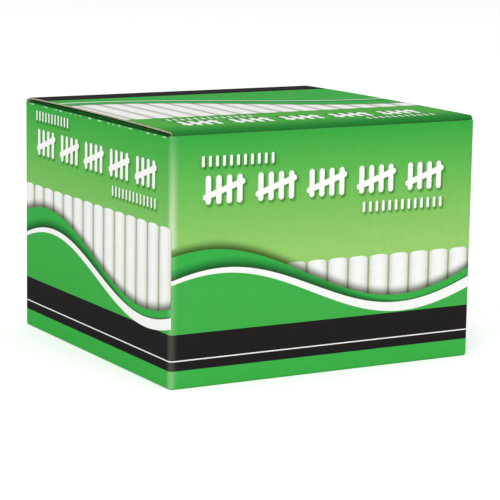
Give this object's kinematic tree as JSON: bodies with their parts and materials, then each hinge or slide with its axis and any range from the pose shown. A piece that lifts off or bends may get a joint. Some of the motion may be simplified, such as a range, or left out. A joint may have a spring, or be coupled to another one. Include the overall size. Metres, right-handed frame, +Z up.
{
  "type": "box of chalk sticks",
  "caption": "Folding carton with a hinged tuck-in lid, dust flaps and a glued base, filled with upright, tapered chalk sticks.",
  "frame": {"origin": "middle of the base, on the surface that the carton stands on", "axes": "+X to the right along the front panel, +Y from the front panel to the hinged back panel, +Z up"},
  "size_m": [0.118, 0.115, 0.085],
  "materials": {
    "printed_board": "offset-printed folding boxboard with a satin varnish outside, uncoated light grey inside",
    "chalk": "dry matt moulded chalk"
  },
  "bodies": {
    "carton": {"carton_body": "printed_board", "chalk_row_01": "chalk", "chalk_row_02": "chalk", "chalk_row_03": "chalk", "chalk_row_04": "chalk", "chalk_row_05": "chalk", "chalk_row_06": "chalk", "chalk_row_07": "chalk", "chalk_row_08": "chalk", "chalk_row_09": "chalk", "chalk_row_10": "chalk"},
    "lid": {"lid": "printed_board"}
  },
  "joints": [
    {"name": "lid_hinge", "type": "hinge", "parent": "carton", "child": "lid", "pos_m": [0, 0.05758, 0.08265], "axis": [-1, 0, 0], "range_deg": [0, 180]}
  ]
}
